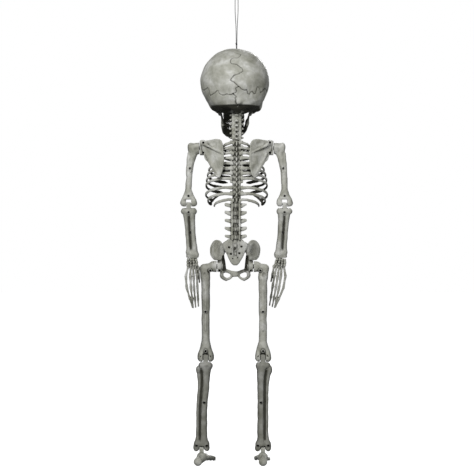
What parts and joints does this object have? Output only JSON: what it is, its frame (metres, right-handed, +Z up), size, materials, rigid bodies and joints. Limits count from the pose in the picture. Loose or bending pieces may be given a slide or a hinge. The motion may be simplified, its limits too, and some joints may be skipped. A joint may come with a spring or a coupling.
{
  "type": "hanging posable skeleton",
  "caption": "Posable plastic skeleton that hangs from a cord loop, with hollow screwed bone shells, opening jaw, turning head and pinned limbs.",
  "frame": {"origin": "top of the hanging loop, where it rests on its hook", "axes": "+Z up, the skeleton faces -Y, its own left is +X"},
  "size_m": [0.245, 0.1798, 1.0234],
  "materials": {
    "bone": "matte aged bone, dark wash in the recesses",
    "pins": "matte moulded pegs and pins",
    "screws": "dark oxide",
    "cord": "twisted black cord"
  },
  "bodies": {
    "skull": {"skull_rear_shell": "bone", "skull_face_shell": "bone", "jaw_pins": "pins", "cord_button": "pins", "hanging_cord": "cord", "hanging_cord_knot": "cord"},
    "jaw": {"jaw": "bone"},
    "trunk": {"neck_peg": "pins", "neck_vertebrae": "bone", "rib_cage_rear": "bone", "rib_cage_front": "bone", "lumbar_vertebrae": "bone", "pelvis_rear_half": "bone", "pelvis_front_half": "bone", "pelvis_screws": "screws", "shoulder_blade_L": "bone", "collar_bone_L": "bone", "shoulder_screws_L": "screws", "shoulder_blade_R": "bone", "collar_bone_R": "bone", "shoulder_screws_R": "screws"},
    "upper_arm_L": {"upper_arm_rear_shell_L": "bone", "upper_arm_front_shell_L": "bone", "upper_arm_screws_L": "screws", "shoulder_peg_L": "pins", "elbow_pin_L": "pins"},
    "forearm_L": {"forearm_rear_shell_L": "bone", "forearm_front_shell_L": "bone", "forearm_screws_L": "screws"},
    "hand_L": {"hand_L": "bone"},
    "thigh_L": {"thigh_rear_shell_L": "bone", "thigh_front_shell_L": "bone", "thigh_screws_L": "screws", "hip_peg_L": "pins", "knee_pin_L": "pins"},
    "shin_L": {"shin_rear_shell_L": "bone", "shin_front_shell_L": "bone", "shin_screws_L": "screws", "ankle_pin_L": "pins"},
    "foot_L": {"foot_L": "bone"},
    "upper_arm_R": {"upper_arm_rear_shell_R": "bone", "upper_arm_front_shell_R": "bone", "upper_arm_screws_R": "screws", "shoulder_peg_R": "pins", "elbow_pin_R": "pins"},
    "forearm_R": {"forearm_rear_shell_R": "bone", "forearm_front_shell_R": "bone", "forearm_screws_R": "screws"},
    "hand_R": {"hand_R": "bone"},
    "thigh_R": {"thigh_rear_shell_R": "bone", "thigh_front_shell_R": "bone", "thigh_screws_R": "screws", "hip_peg_R": "pins", "knee_pin_R": "pins"},
    "shin_R": {"shin_rear_shell_R": "bone", "shin_front_shell_R": "bone", "shin_screws_R": "screws", "ankle_pin_R": "pins"},
    "foot_R": {"foot_R": "bone"}
  },
  "joints": [
    {"name": "jaw_open", "type": "hinge", "parent": "skull", "child": "jaw", "pos_m": [0.00265, -0.01791, -0.228], "axis": [0.9976, 0.0698, 0], "range_deg": [0, 15]},
    {"name": "neck_turn", "type": "hinge", "parent": "skull", "child": "trunk", "pos_m": [0, 0.02, -0.25], "axis": [0, 0, 1], "range_deg": [-40, 40]},
    {"name": "shoulder_swing_L", "type": "hinge", "parent": "trunk", "child": "upper_arm_L", "pos_m": [0.081, 0, -0.328], "axis": [-1, 0, 0], "range_deg": [-50, 100]},
    {"name": "elbow_bend_L", "type": "hinge", "parent": "upper_arm_L", "child": "forearm_L", "pos_m": [0.1056, 0, -0.4515], "axis": [-1, 0, 0], "range_deg": [-10, 80]},
    {"name": "wrist_turn_L", "type": "hinge", "parent": "forearm_L", "child": "hand_L", "pos_m": [0.0985, -0.02092, -0.57017], "axis": [0, 0.1736, 0.9848], "range_deg": [-90, 90]},
    {"name": "hip_swing_L", "type": "hinge", "parent": "trunk", "child": "thigh_L", "pos_m": [0.0427, 0, -0.5885], "axis": [-1, 0, 0], "range_deg": [-30, 90]},
    {"name": "knee_bend_L", "type": "hinge", "parent": "thigh_L", "child": "shin_L", "pos_m": [0.068, 0, -0.788], "axis": [1, 0, 0], "range_deg": [0, 95]},
    {"name": "ankle_tip_L", "type": "hinge", "parent": "shin_L", "child": "foot_L", "pos_m": [0.077, 0, -0.989], "axis": [-1, 0, 0], "range_deg": [-30, 20]},
    {"name": "shoulder_swing_R", "type": "hinge", "parent": "trunk", "child": "upper_arm_R", "pos_m": [-0.081, 0, -0.328], "axis": [-1, 0, 0], "range_deg": [-50, 100]},
    {"name": "elbow_bend_R", "type": "hinge", "parent": "upper_arm_R", "child": "forearm_R", "pos_m": [-0.1056, 0, -0.4515], "axis": [-1, 0, 0], "range_deg": [-10, 80]},
    {"name": "wrist_turn_R", "type": "hinge", "parent": "forearm_R", "child": "hand_R", "pos_m": [-0.0985, -0.02092, -0.57017], "axis": [0, 0.1736, 0.9848], "range_deg": [-90, 90]},
    {"name": "hip_swing_R", "type": "hinge", "parent": "trunk", "child": "thigh_R", "pos_m": [-0.0367, 0, -0.5885], "axis": [-1, 0, 0], "range_deg": [-30, 90]},
    {"name": "knee_bend_R", "type": "hinge", "parent": "thigh_R", "child": "shin_R", "pos_m": [-0.058, 0, -0.788], "axis": [1, 0, 0], "range_deg": [0, 95]},
    {"name": "ankle_tip_R", "type": "hinge", "parent": "shin_R", "child": "foot_R", "pos_m": [-0.058, 0, -0.989], "axis": [-1, 0, 0], "range_deg": [-30, 20]}
  ]
}
